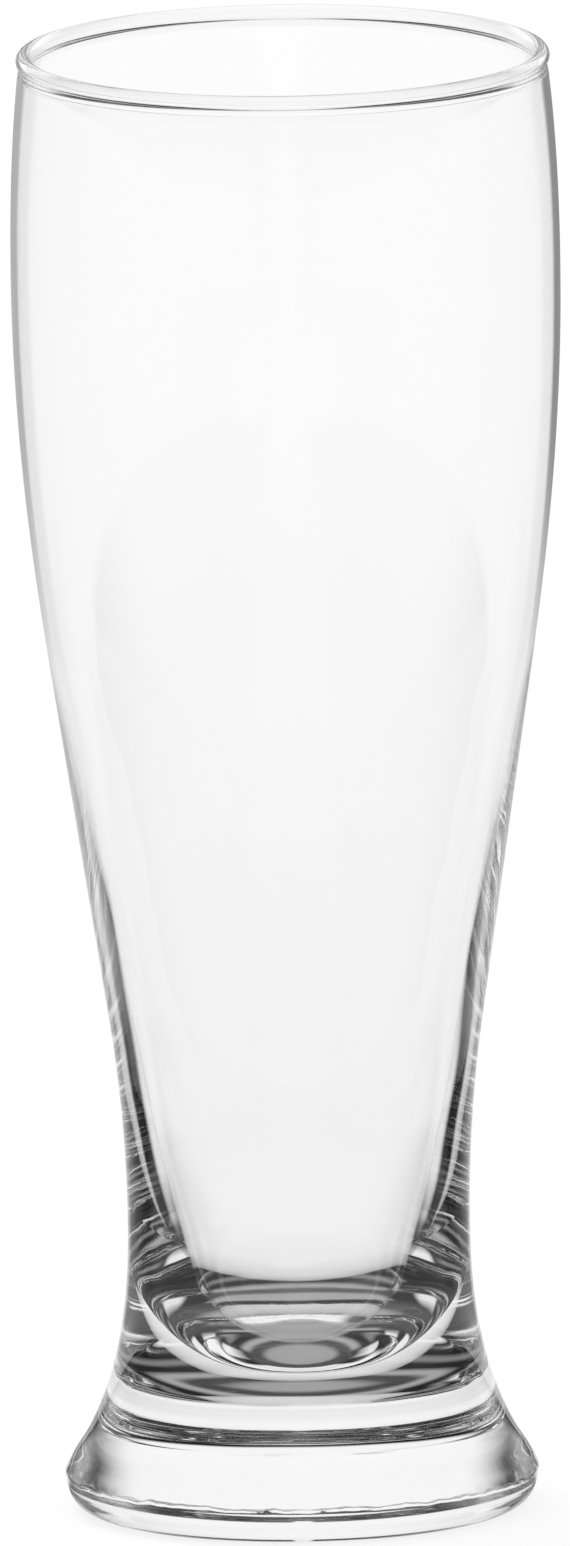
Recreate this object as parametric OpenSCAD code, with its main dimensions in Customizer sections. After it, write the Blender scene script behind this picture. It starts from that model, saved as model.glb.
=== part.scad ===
// Weizen beer glass: a tall blown bowl with a rolled lip, standing on a solid flared foot.
// Lengths are in millimetres. The glass stands on z = 0 and is round about the Z axis.

/* [Foot] */
// Diameter at the widest point of the foot
foot_d = 68.6; // [62:0.2:80]
// Height of the widest point above the table
foot_edge_h = 5.1; // [4:0.1:8]
// How far the rounded lower edge runs in from the widest point to the bearing ring
foot_edge_reach = 4.3; // [3:0.1:7]
// Width of the flat ring that the glass stands on
bearing_w = 1.6; // [1:0.1:5]
// Depth of the hollow under the foot, inside the bearing ring
punt_depth = 1.1; // [0.5:0.1:3]
// Diameter part way up the flare of the foot
flare_d = 61.6; // [54:0.2:66]
// Rise from the widest point to that place
flare_rise = 7; // [6:0.1:12]
// Radius lost for each millimetre of height at that place
flare_slope = 0.51; // [0.3:0.01:0.7]
// Height of the flat face where the bowl is welded to the foot
weld_h = 15; // [13.5:0.5:17]

/* [Bowl outside] */
// Diameter at the waist, the narrowest place
waist_d = 49.8; // [44:0.2:54]
// Rise from the flare to the waist
waist_rise = 30.1; // [24:0.1:36]
// Diameter at the lower end of the straight taper
taper_low_d = 54.4; // [50:0.2:60]
// Rise from the waist to the lower end of the taper
taper_low_rise = 30; // [24:0.2:40]
// Diameter at the upper end of the straight taper
taper_high_d = 71.2; // [66:0.2:76]
// Length of the straight taper, measured along the axis
taper_rise = 55.6; // [40:0.2:80]
// Diameter at the belly, the widest place
belly_d = 80; // [76:0.2:90]
// Rise from the top of the taper to the belly
belly_rise = 54.4; // [40:0.2:70]
// Diameter just under the rolled lip
neck_d = 76.8; // [72:0.2:80]
// Radius lost for each millimetre of height under the lip
neck_slope = 0.12; // [0:0.01:0.2]
// Rise from the belly to the very top
lip_rise = 32.8; // [24:0.2:45]

/* [Wall] */
// Wall under the lip
neck_wall = 1.3; // [0.9:0.05:2]
// Wall at the belly
belly_wall = 1; // [0.7:0.05:2]
// Wall at the upper end of the taper
taper_high_wall = 1.1; // [0.7:0.05:2.4]
// Wall at the lower end of the taper
taper_low_wall = 3.5; // [2:0.1:4.5]
// Radius gained by the inside for each millimetre of height there
taper_low_slope = 0.16; // [0.12:0.01:0.24]
// Wall at the waist
waist_wall = 6.5; // [4.5:0.1:8]

/* [Rolled lip] */
// Thickness of the rolled lip
lip_d = 2.3; // [1.8:0.1:3.2]
// How far the lip stands out past the neck
lip_proud = 0.45; // [0.1:0.05:0.8]

/* [Bottom of the bowl] */
// Slope of the inside wall below the waist, in degrees from the axis
cavity_angle = 13; // [10:0.5:18]
// Height of the floor of the bowl above the table
cavity_floor_h = 20; // [18:0.5:26]
// Diameter of the flat disc in the middle of that floor
cavity_disc_d = 8; // [2:0.5:14]
// Rise from the floor to the height at which the wall starts to turn in
cavity_turn_rise = 15; // [10:0.5:16]
// Fullness of that turn, from a slack curve to one with a nearly square corner
cavity_fullness = 0.5; // [0.4:0.01:0.65]

/* [Hidden] */
$fn = 180;
// Spacing of the points along a curved outline, and their number along the turn into the floor
outline_step = 2;
turn_steps = 18;

// Heights of the places named above
flare_h = foot_edge_h + flare_rise;
waist_h = flare_h + waist_rise;
taper_low_h = waist_h + taper_low_rise;
taper_high_h = taper_low_h + taper_rise;
belly_h = taper_high_h + belly_rise;
total_h = belly_h + lip_rise;
lip_centre_h = total_h - lip_d / 2;
lip_centre_r = neck_d / 2 + lip_proud - lip_d / 2;

// The outside as places of height, radius and radius gained for each millimetre of height
taper_slope = (taper_high_d - taper_low_d) / 2 / taper_rise;
OUTSIDE = [
    [foot_edge_h, foot_d / 2, 0],
    [flare_h, flare_d / 2, -flare_slope],
    [waist_h, waist_d / 2, 0],
    [taper_low_h, taper_low_d / 2, taper_slope],
    [taper_high_h, taper_high_d / 2, taper_slope],
    [belly_h, belly_d / 2, 0],
    [lip_centre_h, neck_d / 2, -neck_slope]
];

// The inside as places of the same kind, each one wall thickness in from the outside
cavity_slope = tan(cavity_angle);
INSIDE = [
    [waist_h, waist_d / 2 - waist_wall, cavity_slope],
    [taper_low_h, taper_low_d / 2 - taper_low_wall, taper_low_slope],
    [taper_high_h, taper_high_d / 2 - taper_high_wall, taper_slope],
    [belly_h, belly_d / 2 - belly_wall, 0],
    [lip_centre_h, neck_d / 2 - neck_wall, -neck_slope]
];

// Below the waist the inside turns smoothly from the sloping wall to the flat floor.
// Four guide points give that turn, from the edge of the disc up to the wall.
disc_r = cavity_disc_d / 2;
turn_h = cavity_floor_h + cavity_turn_rise;
turn_r = INSIDE[0][1] - cavity_slope * (waist_h - turn_h);
turn_pull = cavity_fullness * cavity_turn_rise;
TURN = [
    [disc_r, cavity_floor_h],
    [disc_r + cavity_fullness * (turn_r - disc_r), cavity_floor_h],
    [turn_r - cavity_slope * turn_pull, turn_h - turn_pull],
    [turn_r, turn_h]
];

// The hollow under the foot is a shallow part of a large ball.
bearing_r = foot_d / 2 - foot_edge_reach;
punt_r = bearing_r - bearing_w;
punt_ball_r = (punt_r * punt_r + punt_depth * punt_depth) / (2 * punt_depth);

// Radius at height z on a smooth curve between two places
function between(low, high, z) =
    let (
        span = high[0] - low[0],
        t = (z - low[0]) / span,
        ease = t * t * (3 - 2 * t)
    )
    low[1] * (1 - ease) + high[1] * ease
    + span * t * (1 - t) * ((1 - t) * low[2] - t * high[2]);

// Points [radius, height] of an outline from one height to a greater one
function outline(places, from_h, to_h) = [
    for (i = [0 : len(places) - 2])
        let (
            low = max(from_h, places[i][0]),
            high = min(to_h, places[i + 1][0]),
            steps = max(1, ceil((high - low) / outline_step))
        )
        if (high > low)
            for (k = [(low == from_h ? 0 : 1) : steps])
                let (z = low + (high - low) * k / steps)
                    [between(places[i], places[i + 1], z), z]
];

// Point on the smooth curve of four guide points, for t from 0 to 1
function along(guides, t) =
    pow(1 - t, 3) * guides[0]
    + 3 * t * pow(1 - t, 2) * guides[1]
    + 3 * t * t * (1 - t) * guides[2]
    + pow(t, 3) * guides[3];

// Half of the space inside the bowl, as a flat shape
module cavity_half() {
    above_lip = lip_centre_h + lip_d;
    turn = [for (k = [0 : turn_steps]) along(TURN, k / turn_steps)];
    inside = outline(INSIDE, waist_h, lip_centre_h);
    rim = inside[len(inside) - 1];
    polygon(concat(
        [[0, cavity_floor_h]],
        turn,
        inside,
        [[rim[0], above_lip], [0, above_lip]]
    ));
}

// Half of the bowl's outside, from the weld to the middle of the lip
module bowl_half() {
    polygon(concat(
        [[0, weld_h]],
        outline(OUTSIDE, weld_h, lip_centre_h),
        [[0, lip_centre_h]]
    ));
}

module bowl() {
    color("aliceblue", 0.4)
        rotate_extrude() {
            difference() {
                bowl_half();
                cavity_half();
            }
            translate([lip_centre_r, lip_centre_h])
                circle(d = lip_d);
        }
}

module foot() {
    edge_steps = 16;
    lower_edge = [
        for (k = [0 : edge_steps])
            let (a = 90 * k / edge_steps)
                [
                    bearing_r + foot_edge_reach * sin(a),
                    foot_edge_h * (1 - cos(a))
                ]
    ];
    above_edge = outline(OUTSIDE, foot_edge_h, weld_h);
    color("aliceblue", 0.4)
        rotate_extrude()
            difference() {
                polygon(concat(
                    [[0, 0]],
                    lower_edge,
                    [for (i = [1 : len(above_edge) - 1]) above_edge[i]],
                    [[0, weld_h]]
                ));
                translate([0, punt_depth - punt_ball_r])
                    circle(r = punt_ball_r, $fn = 720);
            }
}

bowl();
foot();
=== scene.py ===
# %% [markdown]
# # A weizen glass
# This scene dresses the CAD model of an empty wheat-beer glass. The real one is made of clear soda-lime
# glass: a solid flared foot, a slim waist, and a tall bowl that swells to a belly and closes a little under
# a rolled lip. The CAD model fixes its place and size. Here it gets one continuous skin of glass, the small
# marks that the mould leaves on it, a white table, a studio to mirror, and a camera.

# %% Load the CAD model
import math

import bpy
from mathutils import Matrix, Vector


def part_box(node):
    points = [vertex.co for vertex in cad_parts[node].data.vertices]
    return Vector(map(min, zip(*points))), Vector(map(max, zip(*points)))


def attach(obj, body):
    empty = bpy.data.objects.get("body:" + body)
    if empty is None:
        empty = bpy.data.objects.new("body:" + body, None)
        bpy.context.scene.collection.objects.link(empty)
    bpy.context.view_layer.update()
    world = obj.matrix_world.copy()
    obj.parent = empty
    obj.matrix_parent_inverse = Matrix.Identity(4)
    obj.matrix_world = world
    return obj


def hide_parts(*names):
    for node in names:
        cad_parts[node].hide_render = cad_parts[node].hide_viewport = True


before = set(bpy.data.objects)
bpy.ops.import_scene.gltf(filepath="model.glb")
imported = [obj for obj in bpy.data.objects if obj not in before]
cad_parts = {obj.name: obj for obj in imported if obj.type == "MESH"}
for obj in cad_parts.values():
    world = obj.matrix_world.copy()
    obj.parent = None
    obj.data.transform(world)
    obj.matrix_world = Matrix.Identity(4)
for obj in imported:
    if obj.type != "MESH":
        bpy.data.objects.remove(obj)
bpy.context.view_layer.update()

# %% [markdown]
# The CAD model has two nodes, welded on a flat disc. In the real glass nothing shows of that weld, and a face
# inside the solid would bend the light a second time. So one skin stands for both nodes. Its greatest radii
# and its height are read from the nodes. The other sizes follow below, each where it is first needed, in
# millimetres. The outline could be drawn by hand as a Bezier curve. Here it is worked out, so that one size
# can be changed by itself. A place on it is a height, a radius, and the radius gained for each millimetre of
# height, and neighbouring places are joined by one smooth curve.

# %% The outside of the glass, from the foot's widest place up to the lip
MM = 0.001
foot_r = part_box("foot")[1].x / MM
belly_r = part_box("bowl")[1].x / MM
total_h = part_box("bowl")[1].z / MM
lip_r = 1.15

taper_low_h = 72.2
taper_low_r = 27.2
taper_high_h = 127.8
taper_high_r = 35.6
taper_slope = (taper_high_r - taper_low_r) / (taper_high_h - taper_low_h)

foot_edge = (5.1, foot_r, 0.0)
flare = (12.1, 30.8, -0.51)
waist = (42.2, 24.9, 0.0)
taper_low = (taper_low_h, taper_low_r, taper_slope)
taper_high = (taper_high_h, taper_high_r, taper_slope)
belly = (182.2, belly_r, 0.0)
neck = (total_h - lip_r, 38.4, -0.12)

FINE_STEP = 1.0
COARSE_STEP = 2.5


def between(low, high, height):
    low_h, low_r, low_slope = low
    high_h, high_r, high_slope = high
    span = high_h - low_h
    t = (height - low_h) / span
    ease = t * t * (3 - 2 * t)
    bow = span * t * (1 - t) * ((1 - t) * low_slope - t * high_slope)
    return low_r * (1 - ease) + high_r * ease + bow


def swept(places, step):
    points = []
    for low, high in zip(places, places[1:]):
        span = high[0] - low[0]
        count = max(2, math.ceil(span / step))
        for i in range(count):
            height = low[0] + span * i / count
            points.append((between(low, high, height), height))
    return points


outside = swept([foot_edge, flare, waist], FINE_STEP)
outside += swept([waist, taper_low, taper_high, belly, neck], COARSE_STEP)
print("The outside has", len(outside), "points")

# %% [markdown]
# The rim of a machine-made glass is melted round after the cut, and stands a little proud of the neck. A
# torus laid on the edge would leave a seam inside the glass. So the lip is part of the outline: most of a
# circle, which runs from the outer wall over the top to the inner wall. Both walls end a little below it.

# %% The rolled lip
neck_wall = 1.3
lip_proud = 0.45
lip_gap = 0.5
lip_centre = (neck[1] + lip_proud - lip_r, total_h - lip_r)
LIP_STEPS = 28


def arc(centre, radii, start, end, count):
    points = []
    for i in range(count + 1):
        angle = math.radians(start + (end - start) * i / count)
        points.append((centre[0] + radii[0] * math.cos(angle), centre[1] + radii[1] * math.sin(angle)))
    return points


meets_outside = math.degrees(math.acos((neck[1] - lip_centre[0]) / lip_r))
meets_inside = math.degrees(math.acos((lip_centre[0] - neck[1] + neck_wall) / lip_r))
lip = arc(lip_centre, (lip_r, lip_r), -meets_outside, 180 + meets_inside, LIP_STEPS)
outside = [point for point in outside if point[1] < lip[0][1] - lip_gap]
print("The lip has", len(lip), "points")

# %% [markdown]
# The wall is only about a millimetre thick at the belly and grows to more than six at the waist, where the
# blown bowl runs out into the solid base. That change of thickness is what draws the dark and bright bands in
# the lower third. A Solidify modifier would give an even wall, so the inside has places of its own.

# %% The inside of the bowl
cavity_slope = math.tan(math.radians(13.0))
waist_wall = 6.5
taper_low_wall = 3.3
taper_low_inner_slope = 0.2
taper_high_wall = 0.8
belly_wall = 0.9

inner_waist = (waist[0], waist[1] - waist_wall, cavity_slope)
inner_places = [
    inner_waist,
    (taper_low_h, taper_low_r - taper_low_wall, taper_low_inner_slope),
    (taper_high_h, taper_high_r - taper_high_wall, taper_slope),
    (belly[0], belly_r - belly_wall, 0.0),
    (neck[0], neck[1] - neck_wall, neck[2]),
]
inside = [point for point in swept(inner_places, COARSE_STEP) if point[1] < lip[-1][1] - lip_gap]
print("The inside has", len(inside), "points")

# %% [markdown]
# The bowl ends in a rounded hollow with a small flat floor. A half ball would be too round for it. One smooth
# curve on four guide points runs from the sloping wall to the edge of the flat floor, and a single number for
# its fullness sets how square that turn is.

# %% The bottom of the bowl
cavity_floor_h = 20.0
cavity_disc_r = 4.0
cavity_turn_rise = 15.0
cavity_fullness = 0.5
WALL_RISES = (5.4, 3.6, 1.8)
DISC_SHARES = (0.67, 0.33, 0.0)
TURN_STEPS = 32

turn_h = cavity_floor_h + cavity_turn_rise
turn_r = inner_waist[1] - cavity_slope * (waist[0] - turn_h)
turn_pull = cavity_fullness * cavity_turn_rise
guides = [
    (turn_r, turn_h),
    (turn_r - cavity_slope * turn_pull, turn_h - turn_pull),
    (cavity_disc_r + cavity_fullness * (turn_r - cavity_disc_r), cavity_floor_h),
    (cavity_disc_r, cavity_floor_h),
]
hollow = [(turn_r + cavity_slope * rise, turn_h + rise) for rise in WALL_RISES]
for i in range(TURN_STEPS + 1):
    t = i / TURN_STEPS
    shares = ((1 - t) ** 3, 3 * t * (1 - t) ** 2, 3 * t * t * (1 - t), t ** 3)
    radius = sum(share * guide[0] for share, guide in zip(shares, guides))
    height = sum(share * guide[1] for share, guide in zip(shares, guides))
    hollow.append((radius, height))
hollow += [(cavity_disc_r * share, cavity_floor_h) for share in DISC_SHARES]
print("The hollow has", len(hollow), "points")

# %% [markdown]
# Under the foot the glass is slightly hollow, so that it stands on a narrow ring and doesn't rock. The foot's
# lower edge is well rounded. A bevel would round it evenly, but the real edge is a little higher than it is
# wide, so it is a quarter of an ellipse.

# %% The underside
foot_edge_reach = 4.3
bearing_w = 1.6
punt_depth = 1.1
PUNT_STEPS = 14
EDGE_STEPS = 18

bearing_r = foot_r - foot_edge_reach
punt_r = bearing_r - bearing_w
punt = [(punt_r * i / PUNT_STEPS, punt_depth * (1 - (i / PUNT_STEPS) ** 2)) for i in range(PUNT_STEPS + 1)]
edge_centre = (bearing_r, foot_edge[0])
lower_edge = arc(edge_centre, (foot_edge_reach, foot_edge[0]), -90, 0, EDGE_STEPS)[:-1]
print("The underside has", len(punt) + len(lower_edge), "points")

# %% [markdown]
# Just above the widest place of the foot runs the mould line, a ridge about a tenth of a millimetre high,
# where the mould's base plate met its sides. It is small, but it shows as a thin dark line. Four points of
# the outline make it, with a narrow crest and a wider root that sinks a little into the foot.

# %% The mould line, and the whole outline
mould_h = 5.5
mould_crest_r = foot_r + 0.12
mould_crest_half = 0.12
mould_root_r = foot_r - 0.02
mould_root_half = 0.4
mould_clearance = 0.6

mould_line = [
    (mould_root_r, mould_h - mould_root_half),
    (mould_crest_r, mould_h - mould_crest_half),
    (mould_crest_r, mould_h + mould_crest_half),
    (mould_root_r, mould_h + mould_root_half),
]
flank = [point for point in outside if point[1] > mould_h + mould_clearance]
outline = punt + lower_edge + mould_line + flank + lip + inside[::-1] + hollow
print("The whole outline has", len(outline), "points")

# %% [markdown]
# A body that is round about an axis is best lathed. A plane is merged to one point, that point is extruded
# along the outline, which is half of a section through the glass, and the line is spun about the Z axis. The
# first and the last point lie on the axis, so merging the doubles closes the skin there, and the normals then
# all face out of the glass.

# %% Lathe the glass
SPIN_STEPS = 320
DOUBLES = 1e-6


def lathe(name, points):
    bpy.ops.object.select_all(action="DESELECT")
    bpy.ops.mesh.primitive_plane_add(size=MM)
    piece = bpy.context.object
    piece.name = name
    bpy.ops.object.mode_set(mode="EDIT")
    bpy.ops.mesh.select_all(action="SELECT")
    bpy.ops.mesh.merge(type="CENTER")
    here = points[0]
    bpy.ops.transform.translate(value=(here[0] * MM, 0, here[1] * MM))
    for there in points[1:]:
        step = ((there[0] - here[0]) * MM, 0, (there[1] - here[1]) * MM)
        bpy.ops.mesh.extrude_region_move(TRANSFORM_OT_translate={"value": step})
        here = there
    bpy.ops.mesh.select_all(action="SELECT")
    bpy.ops.mesh.spin(steps=SPIN_STEPS, angle=math.tau, center=(0, 0, 0), axis=(0, 0, 1))
    bpy.ops.mesh.select_all(action="SELECT")
    bpy.ops.mesh.remove_doubles(threshold=DOUBLES)
    bpy.ops.mesh.normals_make_consistent(inside=False)
    bpy.ops.object.mode_set(mode="OBJECT")
    bpy.ops.object.shade_smooth()
    return piece


glass = lathe("glass_skin", outline)
print("The glass has", len(glass.data.polygons), "faces")

# %% [markdown]
# A mould never leaves glass quite even. The solid lower part chills against the iron in slow waves, the blown
# inside is wavy over a longer reach, and the mould line wanders up and down. A bump in the shader would only
# look uneven, while real waves also bend the light that goes through them. Each is a Displace modifier with a
# cloud texture of that size, held to its own region by a vertex group, and applied. The waves are less than a
# tenth of a millimetre high, yet they break up the dark bands.

# %% A tool for waves
def wavy(piece, name, share_at, wave_length, depth, direction):
    group = piece.vertex_groups.new(name=name)
    for vertex in piece.data.vertices:
        radius = math.hypot(vertex.co.x, vertex.co.y)
        facing = (vertex.normal.x * vertex.co.x + vertex.normal.y * vertex.co.y) / max(radius, MM)
        share = share_at(radius / MM, vertex.co.z / MM, facing)
        if share > 0:
            group.add([vertex.index], min(1.0, share), "REPLACE")
    clouds = bpy.data.textures.new(name, "CLOUDS")
    clouds.noise_scale = wave_length * MM
    clouds.noise_depth = 1
    waves = piece.modifiers.new(name, "DISPLACE")
    waves.texture = clouds
    waves.texture_coords = "LOCAL"
    waves.direction = direction
    waves.strength = depth * MM
    waves.mid_level = 0.5
    waves.vertex_group = name
    bpy.ops.object.modifier_apply(modifier=name)
    print("Waves:", name)


# %% [markdown]
# A region is given by a share from none to all, for a point's radius, its height, and how far its face looks
# away from the axis. The waves fade in and out over some millimetres, so that no region shows its border, and
# the ring that the glass stands on is left flat.

# %% Waves and the wandering mould line
SIDEWAYS = 0.2
MOULDED_TOP = 58
MOULDED_FADE = 12
STANDING_TOP = 2
BLOWN_BOTTOM = 34
BLOWN_TOP = 130
BLOWN_FADE = 20
MOULD_LINE_DEPTH = 0.6
MOULD_LINE_HALF = 0.5


def moulded_share(radius, height, facing):
    return (MOULDED_TOP - height) / MOULDED_FADE if facing > SIDEWAYS and height > STANDING_TOP else 0


def blown_share(radius, height, facing):
    return min(height - BLOWN_BOTTOM, BLOWN_TOP - height) / BLOWN_FADE if facing < -SIDEWAYS else 0


def mould_line_share(radius, height, facing):
    return 1.0 if radius > foot_r - MOULD_LINE_DEPTH and abs(height - mould_h) < MOULD_LINE_HALF else 0


wavy(glass, "moulded_outside", moulded_share, wave_length=12.0, depth=0.035, direction="NORMAL")
wavy(glass, "blown_inside", blown_share, wave_length=18.0, depth=0.15, direction="NORMAL")
wavy(glass, "mould_line", mould_line_share, wave_length=2.2, depth=0.8, direction="Z")

# %% [markdown]
# A node tree is short to write with one helper. It adds a node, sets its options, and fills or links its
# inputs in the order that they have on the node. Colours are given as they look on a screen and turned into
# the linear values that the shader works with.

# %% Helpers for materials
def linear(code):
    channels = [int(code[i:i + 2], 16) / 255 for i in (1, 3, 5)]
    return [c / 12.92 if c <= 0.04045 else ((c + 0.055) / 1.055) ** 2.4 for c in channels] + [1.0]


def add(tree, kind, settings, *inputs):
    node = tree.nodes.new(kind)
    for name, value in settings.items():
        setattr(node, name, value)
    for socket, value in zip(node.inputs, inputs):
        if isinstance(value, bpy.types.NodeSocket):
            tree.links.new(value, socket)
        elif value is not None:
            socket.default_value = value
    return node


print("Mid grey #808080 is", round(linear("#808080")[0], 3), "of full light")

# %% [markdown]
# Soda-lime glass is almost colourless, with a breath of grey where it is thick. It bends light a little less
# than lead crystal. Its surface is fire-polished, so it is smooth but never quite even: slow ripples of a
# centimetre or two are left from cooling, and a bump as shallow as those shifts what the glass mirrors. A
# Glass shader would look the same, but Principled is the one that other programs read.

# %% Soda-lime glass
RIPPLES = 7
RIPPLES_SPAN = 100 * MM
RIPPLE_DEPTH = 0.02 * MM
RIPPLE_STRENGTH = 0.25


def soda_lime_glass():
    material = bpy.data.materials.new("soda_lime_glass")
    material.use_nodes = True
    tree = material.node_tree
    place = add(tree, "ShaderNodeTexCoord", {})
    scale = RIPPLES / RIPPLES_SPAN
    ripples = add(tree, "ShaderNodeTexNoise", {}, place.outputs["Object"], None, scale, 1.0)
    skin = add(tree, "ShaderNodeBump", {}, RIPPLE_STRENGTH, RIPPLE_DEPTH)
    tree.links.new(ripples.outputs["Fac"], skin.inputs["Height"])
    shader = tree.nodes["Principled BSDF"]
    shader.inputs["Base Color"].default_value = linear("#FEFEFE")
    shader.inputs["Roughness"].default_value = 0.0
    shader.inputs["IOR"].default_value = 1.52
    shader.inputs["Transmission Weight"].default_value = 1.0
    tree.links.new(skin.outputs["Normal"], shader.inputs["Normal"])
    return material


glass.data.materials.clear()
glass.data.materials.append(soda_lime_glass())
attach(glass, "root")
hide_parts("bowl", "foot")
print("The glass is made of", glass.data.materials[0].name)

# %% [markdown]
# The table is plain white lacquer. Most of its white is a fill of its own, so that it stays white in the
# picture, and the rest takes the lamp's soft shadow. Seen straight through the glass it is white too, with a
# painted shadow: darker under the foot, where little light gets in. A ramp gives that painted shadow by the
# distance from the axis.

# %% The table as it is seen
TABLE_SIZE = 40.0
TABLE_GAP = 0.05 * MM
# Levels of the table seen through the glass, with a painted shadow under the foot
THROUGH_SHADOW_LEVELS = [(0, 0.33), (28, 0.33), (32, 0.5), (37, 0.65), (43, 0.83), (55, 0.97), (100, 1.0)]
TABLE_FILL = 0.84

bpy.ops.object.select_all(action="DESELECT")
bpy.ops.mesh.primitive_plane_add(size=TABLE_SIZE, location=(0, 0, -TABLE_GAP))
table = bpy.context.object
table.name = "table"


def fill_ramp(ramp, stops):
    elements = ramp.color_ramp.elements
    while len(elements) < len(stops):
        elements.new(0.5)
    for element, (position, level) in zip(elements, stops):
        element.position = position
        element.color = (level, level, level, 1)


def seen_table(tree, path, away):
    reach = THROUGH_SHADOW_LEVELS[-1][0]
    share = add(tree, "ShaderNodeMath", {"operation": "DIVIDE"}, away, reach * MM)
    ramp = add(tree, "ShaderNodeValToRGB", {}, share.outputs[0])
    fill_ramp(ramp, [(distance / reach, level) for distance, level in THROUGH_SHADOW_LEVELS])
    through = add(tree, "ShaderNodeEmission", {}, ramp.outputs["Color"], 1.0)

    lacquer = add(tree, "ShaderNodeBsdfDiffuse", {}, linear("#6F6F6F"))
    fill = add(tree, "ShaderNodeEmission", {}, linear("#FFFFFF"), TABLE_FILL)
    top = add(tree, "ShaderNodeAddShader", {}, lacquer.outputs[0], fill.outputs[0])
    to_camera = path.outputs["Is Camera Ray"]
    seen = add(tree, "ShaderNodeMixShader", {}, to_camera, through.outputs[0], top.outputs[0])
    return seen.outputs[0]


print("The table is", TABLE_SIZE, "metres wide")

# %% [markdown]
# What the glass mirrors of the table is another matter, because it draws the edges and the bands. It is a
# painted reflection: the table glows with it only for rays that a glass face has mirrored. Far out that glow
# is a bright field, and behind the glass two grey flags are painted on that field, one on each side of a
# painted bright strip. The flags only begin well behind the glass, so it is the thin upper bowl that mirrors
# them and gets its dark edges. They could be separate cards, but as soft-edged fields of one material they
# are easy to move.

# %% The far part of the mirrored table
EASED = {"interpolation_type": "SMOOTHSTEP"}


def cosine(degrees):
    return math.cos(math.radians(degrees))


FIELD_LEVEL = 0.85
LEFT_FLAG_LEVEL = 0.44
RIGHT_FLAG_LEVEL = 0.27
FLAGS_PARTING = 0.1
FLAGS_OUTER = cosine(31)
FLAGS_INNER = cosine(25)
FLAGS_START = 370 * MM
FLAGS_FULL = 870 * MM
STRIP_LEVEL = 0.95
STRIP_INNER = 85 * MM
STRIP_OUTER = 125 * MM


# Painted reflection: the glowing field, flags and strip that only mirrored rays see on the table
def far_table(tree, place, away, back):
    flags = add(tree, "ShaderNodeMapRange", EASED, back.outputs["X"], -FLAGS_PARTING, FLAGS_PARTING,
                LEFT_FLAG_LEVEL, RIGHT_FLAG_LEVEL)
    far_back = add(tree, "ShaderNodeMapRange", EASED, away, FLAGS_START, FLAGS_FULL,
                   FIELD_LEVEL, flags.outputs[0])
    flagged = add(tree, "ShaderNodeMapRange", EASED, back.outputs["Y"], FLAGS_OUTER, FLAGS_INNER,
                  FIELD_LEVEL, far_back.outputs[0])
    aside = add(tree, "ShaderNodeSeparateXYZ", {}, place)
    across = add(tree, "ShaderNodeMath", {"operation": "ABSOLUTE"}, aside.outputs["X"])
    strip = add(tree, "ShaderNodeMapRange", EASED, across.outputs[0], STRIP_INNER, STRIP_OUTER,
                STRIP_LEVEL, 0.0)
    lit = add(tree, "ShaderNodeMath", {"operation": "MAXIMUM"}, flagged.outputs[0], strip.outputs[0])
    beyond = add(tree, "ShaderNodeEmission", {}, lit.outputs[0], 1.0)
    return beyond.outputs[0]


print("The flags are", LEFT_FLAG_LEVEL, "and", RIGHT_FLAG_LEVEL, "of full light")

# %% [markdown]
# Under the foot, and close behind the glass, the mirrored table is clear and lets the studio below the
# horizon show. Beside the glass and in front of it the mirrored table glows with a painted shade, dim near
# the glass and brighter with the distance, which darkens the thick lower wall.

# %% The near part of the mirrored table
SIDES_FULL = cosine(75)
SIDES_GONE = cosine(62)
FOOT_INNER = 30 * MM
FOOT_OUTER = 40 * MM
SHADE_START = 110 * MM
SHADE_END = 210 * MM
SHADE_NEAR_LEVEL = 0.05
SHADE_FAR_LEVEL = 0.5


def near_table(tree, away, back):
    clear = add(tree, "ShaderNodeBsdfTransparent", {})
    sides = add(tree, "ShaderNodeMapRange", EASED, back.outputs["Y"], SIDES_FULL, SIDES_GONE, 1.0, 0.0)
    clear_of_foot = add(tree, "ShaderNodeMapRange", EASED, away, FOOT_INNER, FOOT_OUTER)
    shaded = add(tree, "ShaderNodeMath", {"operation": "MULTIPLY"}, clear_of_foot.outputs[0],
                 sides.outputs[0])
    rising = add(tree, "ShaderNodeMapRange", EASED, away, SHADE_START, SHADE_END,
                 SHADE_NEAR_LEVEL, SHADE_FAR_LEVEL)
    # Painted shade: a dim glow that the glass mirrors beside and in front of it
    shade = add(tree, "ShaderNodeEmission", {}, rising.outputs[0], 1.0)
    near = add(tree, "ShaderNodeMixShader", {}, shaded.outputs[0], clear.outputs[0], shade.outputs[0])
    return near.outputs[0]


print("The shade beside the glass starts at", SHADE_NEAR_LEVEL, "of full light")

# %% [markdown]
# The two parts of the mirrored table meet on an oval round the glass, twice as wide as it is deep. A ray that
# a glass face has mirrored meets that table, and every other ray meets the one that is seen.

# %% White table
OVAL = (0.5, 1, 1)
FAR_START = 150 * MM
FAR_FULL = 270 * MM
MIRRORED_ONCE = 0.5


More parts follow.
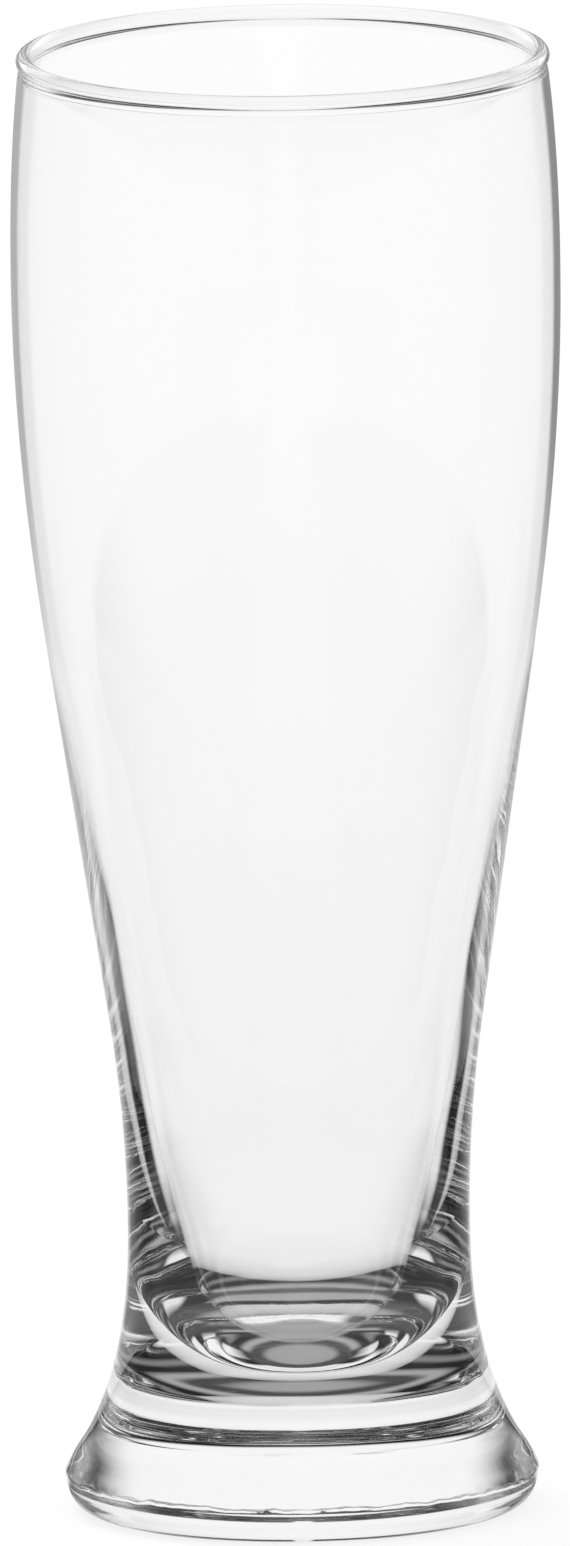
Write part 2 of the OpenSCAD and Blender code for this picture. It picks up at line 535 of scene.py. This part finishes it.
def white_table():
    material = bpy.data.materials.new("white_table")
    material.use_nodes = True
    tree = material.node_tree
    tree.nodes.remove(tree.nodes["Principled BSDF"])
    path = add(tree, "ShaderNodeLightPath", {})
    place = add(tree, "ShaderNodeTexCoord", {}).outputs["Object"]
    away = add(tree, "ShaderNodeVectorMath", {"operation": "LENGTH"}, place).outputs["Value"]
    towards = add(tree, "ShaderNodeVectorMath", {"operation": "NORMALIZE"}, place)
    back = add(tree, "ShaderNodeSeparateXYZ", {}, towards.outputs[0])

    narrowed = add(tree, "ShaderNodeVectorMath", {"operation": "MULTIPLY"}, place, OVAL)
    oval = add(tree, "ShaderNodeVectorMath", {"operation": "LENGTH"}, narrowed.outputs[0])
    far = add(tree, "ShaderNodeMapRange", EASED, oval.outputs["Value"], FAR_START, FAR_FULL)
    reached = add(tree, "ShaderNodeMixShader", {}, far.outputs[0], near_table(tree, away, back),
                  far_table(tree, place, away, back))
    mirrored = add(tree, "ShaderNodeMath", {"operation": "GREATER_THAN"}, path.outputs["Glossy Depth"],
                   MIRRORED_ONCE)
    both = add(tree, "ShaderNodeMixShader", {}, mirrored.outputs[0], seen_table(tree, path, away),
               reached.outputs[0])
    tree.links.new(both.outputs[0], tree.nodes["Material Output"].inputs["Surface"])
    return material


table.data.materials.append(white_table())
print("The table is made of", table.data.materials[0].name)

# %% [markdown]
# Clear glass has no colour of its own to show: it is drawn by what it mirrors. A studio for glass is dark but
# for a few panels, so that the panels fill the clear parts and the dark draws the edges. Panels could be
# lamps, but a world made of ramps gives no noise and is quick to trim. Each light has a span and a list of
# levels by degrees above the horizon. The span is the azimuth of its middle, the angle from there where the
# light is gone, and the angle where it starts to fade. The dark room is all round, so it has no span. Behind
# the glass are the back panel, its gleam in the polished table top and two cards beside that gleam, with a
# softbox high above them. In front are a low panel and two faint glints.

# %% Lights of the studio
CARD = [(-46, 0.0), (-40, 0.4), (-30, 0.85), (-20, 0.85), (-16, 0.0)]
STUDIO = {
    "room": (None, [
        (-90, 0.38), (-66, 0.36), (-60, 0.08), (-44, 0.05), (-40, 0.02), (-1, 0.01),
        (4, 0.03), (28, 0.03), (32, 0.01), (62, 0.02), (72, 0.45),
    ]),
    "glints": ((180, 118, 100), [
        (-54, 0.0), (-49, 0.34), (-46, 0.34), (-40, 0.0),
        (-34, 0.0), (-29, 0.22), (-26, 0.22), (-20, 0.0),
    ]),
    "back_panel": ((0, 58, 33), [(0, 0.0), (6, 1.0), (27, 0.97), (32, 0.0)]),
    "front_panel": ((180, 112, 72), [(-4, 0.0), (-2, 0.75), (4, 0.6), (9, 0.3), (15, 0.0)]),
    "gleam": ((0, 23, 16), [(-44, 0.0), (-40, 0.85), (-6, 0.95), (-3, 0.0)]),
    "left_card": ((-51, 16, 8), CARD),
    "right_card": ((51, 16, 8), CARD),
    "softbox": ((-12, 42, 22), [(40, 0.0), (44, 0.95), (62, 0.95), (70, 0.0)]),
}
print("The studio has", len(STUDIO), "lights")

# %% [markdown]
# The world adds these lights up. A direction's Z is the sine of its angle above the horizon, so it sets the
# place on a light's ramp. The cosine of the angle to the light's middle, measured on the level, sets how much
# of that light is left.

# %% The studio as a world
world = bpy.data.worlds.new("studio")
bpy.context.scene.world = world
world.use_nodes = True
tree = world.node_tree
sky = add(tree, "ShaderNodeTexCoord", {}).outputs["Generated"]
split = add(tree, "ShaderNodeSeparateXYZ", {}, sky)
height = add(tree, "ShaderNodeMapRange", {}, split.outputs["Z"], -1.0, 1.0)
level_way = add(tree, "ShaderNodeVectorMath", {"operation": "MULTIPLY"}, sky, (1, 1, 0))
towards = add(tree, "ShaderNodeVectorMath", {"operation": "NORMALIZE"}, level_way.outputs[0])
whole = None
for name, (span, levels) in STUDIO.items():
    ramp = add(tree, "ShaderNodeValToRGB", {"label": name}, height.outputs[0])
    fill_ramp(ramp, [(0.5 + 0.5 * math.sin(math.radians(degrees)), level) for degrees, level in levels])
    if span is None:
        whole = ramp.outputs["Color"]
        continue
    middle, gone, fading = span
    middle_way = (math.sin(math.radians(middle)), cosine(middle), 0)
    facing = add(tree, "ShaderNodeVectorMath", {"operation": "DOT_PRODUCT"}, towards.outputs[0], middle_way)
    width = add(tree, "ShaderNodeMapRange", EASED, facing.outputs["Value"], cosine(gone), cosine(fading))
    total = add(tree, "ShaderNodeMath", {"operation": "MULTIPLY_ADD"}, width.outputs[0],
                ramp.outputs["Color"], whole)
    whole = total.outputs[0]
print("The lights have", len(tree.nodes), "nodes")

# %% [markdown]
# To the camera, and straight through the glass, the world is a plain white backdrop. Through the glass it has
# a top, about twenty degrees up. Light that the rolled lip bends past that top meets the dark, which draws
# the rim as a thin line. Only a slim strip straight behind the glass stays white higher up, to keep the
# middle of the rim from going dark.

# %% Backdrop
BACKDROP = 1.0
DARK = 0.05
BACKDROP_TOP_START = math.sin(math.radians(17))
BACKDROP_TOP_END = math.sin(math.radians(25))
SLIM_OUTER = cosine(2.6)
SLIM_INNER = cosine(0.8)
NUMBERS = {"data_type": "FLOAT"}

path = add(tree, "ShaderNodeLightPath", {})
above = add(tree, "ShaderNodeMapRange", EASED, split.outputs["Z"], BACKDROP_TOP_START, BACKDROP_TOP_END)
behind = add(tree, "ShaderNodeSeparateXYZ", {}, towards.outputs[0])
slim = add(tree, "ShaderNodeMapRange", EASED, behind.outputs["Y"], SLIM_OUTER, SLIM_INNER, DARK, BACKDROP)
bent = add(tree, "ShaderNodeMath", {"operation": "MULTIPLY"}, above.outputs[0],
           path.outputs["Is Transmission Ray"])
backdrop = add(tree, "ShaderNodeMix", NUMBERS, bent.outputs[0], None, BACKDROP, slim.outputs[0])
mirrored = add(tree, "ShaderNodeMath", {"operation": "GREATER_THAN"}, path.outputs["Glossy Depth"],
               MIRRORED_ONCE)
through = add(tree, "ShaderNodeMix", NUMBERS, mirrored.outputs[0], None, backdrop.outputs[0], whole)
plain = add(tree, "ShaderNodeMix", NUMBERS, path.outputs["Is Camera Ray"], None, through.outputs[0], BACKDROP)
tree.links.new(plain.outputs[0], tree.nodes["Background"].inputs["Color"])
print("The world has", len(tree.nodes), "nodes")

# %% [markdown]
# One soft lamp, up behind the left shoulder of the glass, gives the table a faint shadow. The glass doesn't
# mirror it, because the studio already holds every light that shows.

# %% Lamp for the table's shadow
lamp_place = (-0.35, 0.25, 0.9)
lamp_lean = (-16, -21, 0)

bpy.ops.object.light_add(type="AREA", location=lamp_place)
lamp = bpy.context.object
lamp.name = "soft_lamp"
lamp.data.shape = "DISK"
lamp.data.size = 0.5
lamp.data.energy = 3.0
lamp.rotation_euler = [math.radians(angle) for angle in lamp_lean]
lamp.visible_camera = False
lamp.visible_glossy = False
lamp.visible_transmission = False
print("The lamp has", lamp.data.energy, "watts")

# %% [markdown]
# The photograph looks down on the glass by about ten degrees, from far enough away that the sides hardly
# converge, so the camera is orthographic. The picture is turned by a little less than a degree.

# %% Camera
elevation = math.radians(10.2)
roll = math.radians(-0.8)
frame_h = 224.8 * MM
aim = (-1.1 * MM, 0.0, 108.2 * MM)
distance = 2.0

camera_data = bpy.data.cameras.new("camera")
camera = bpy.data.objects.new("camera", camera_data)
bpy.context.scene.collection.objects.link(camera)
camera_data.type = "ORTHO"
camera_data.ortho_scale = frame_h
camera.location = (
    aim[0],
    aim[1] - distance * math.cos(elevation),
    aim[2] + distance * math.sin(elevation),
)
camera.rotation_euler = (math.pi / 2 - elevation, 0, 0)
camera.rotation_euler.rotate_axis("Z", roll)
bpy.context.scene.camera = camera
print("The camera is at", tuple(round(c, 3) for c in camera.location))

# %% [markdown]
# Light goes through many glass faces before it leaves the solid base, so it may bounce more often than usual.

# %% Render settings
BOUNCES = 128

scene = bpy.context.scene
scene.view_settings.view_transform = "Standard"
scene.cycles.max_bounces = BOUNCES
scene.cycles.transmission_bounces = BOUNCES
scene.cycles.glossy_bounces = BOUNCES
print("Light may bounce", BOUNCES, "times")
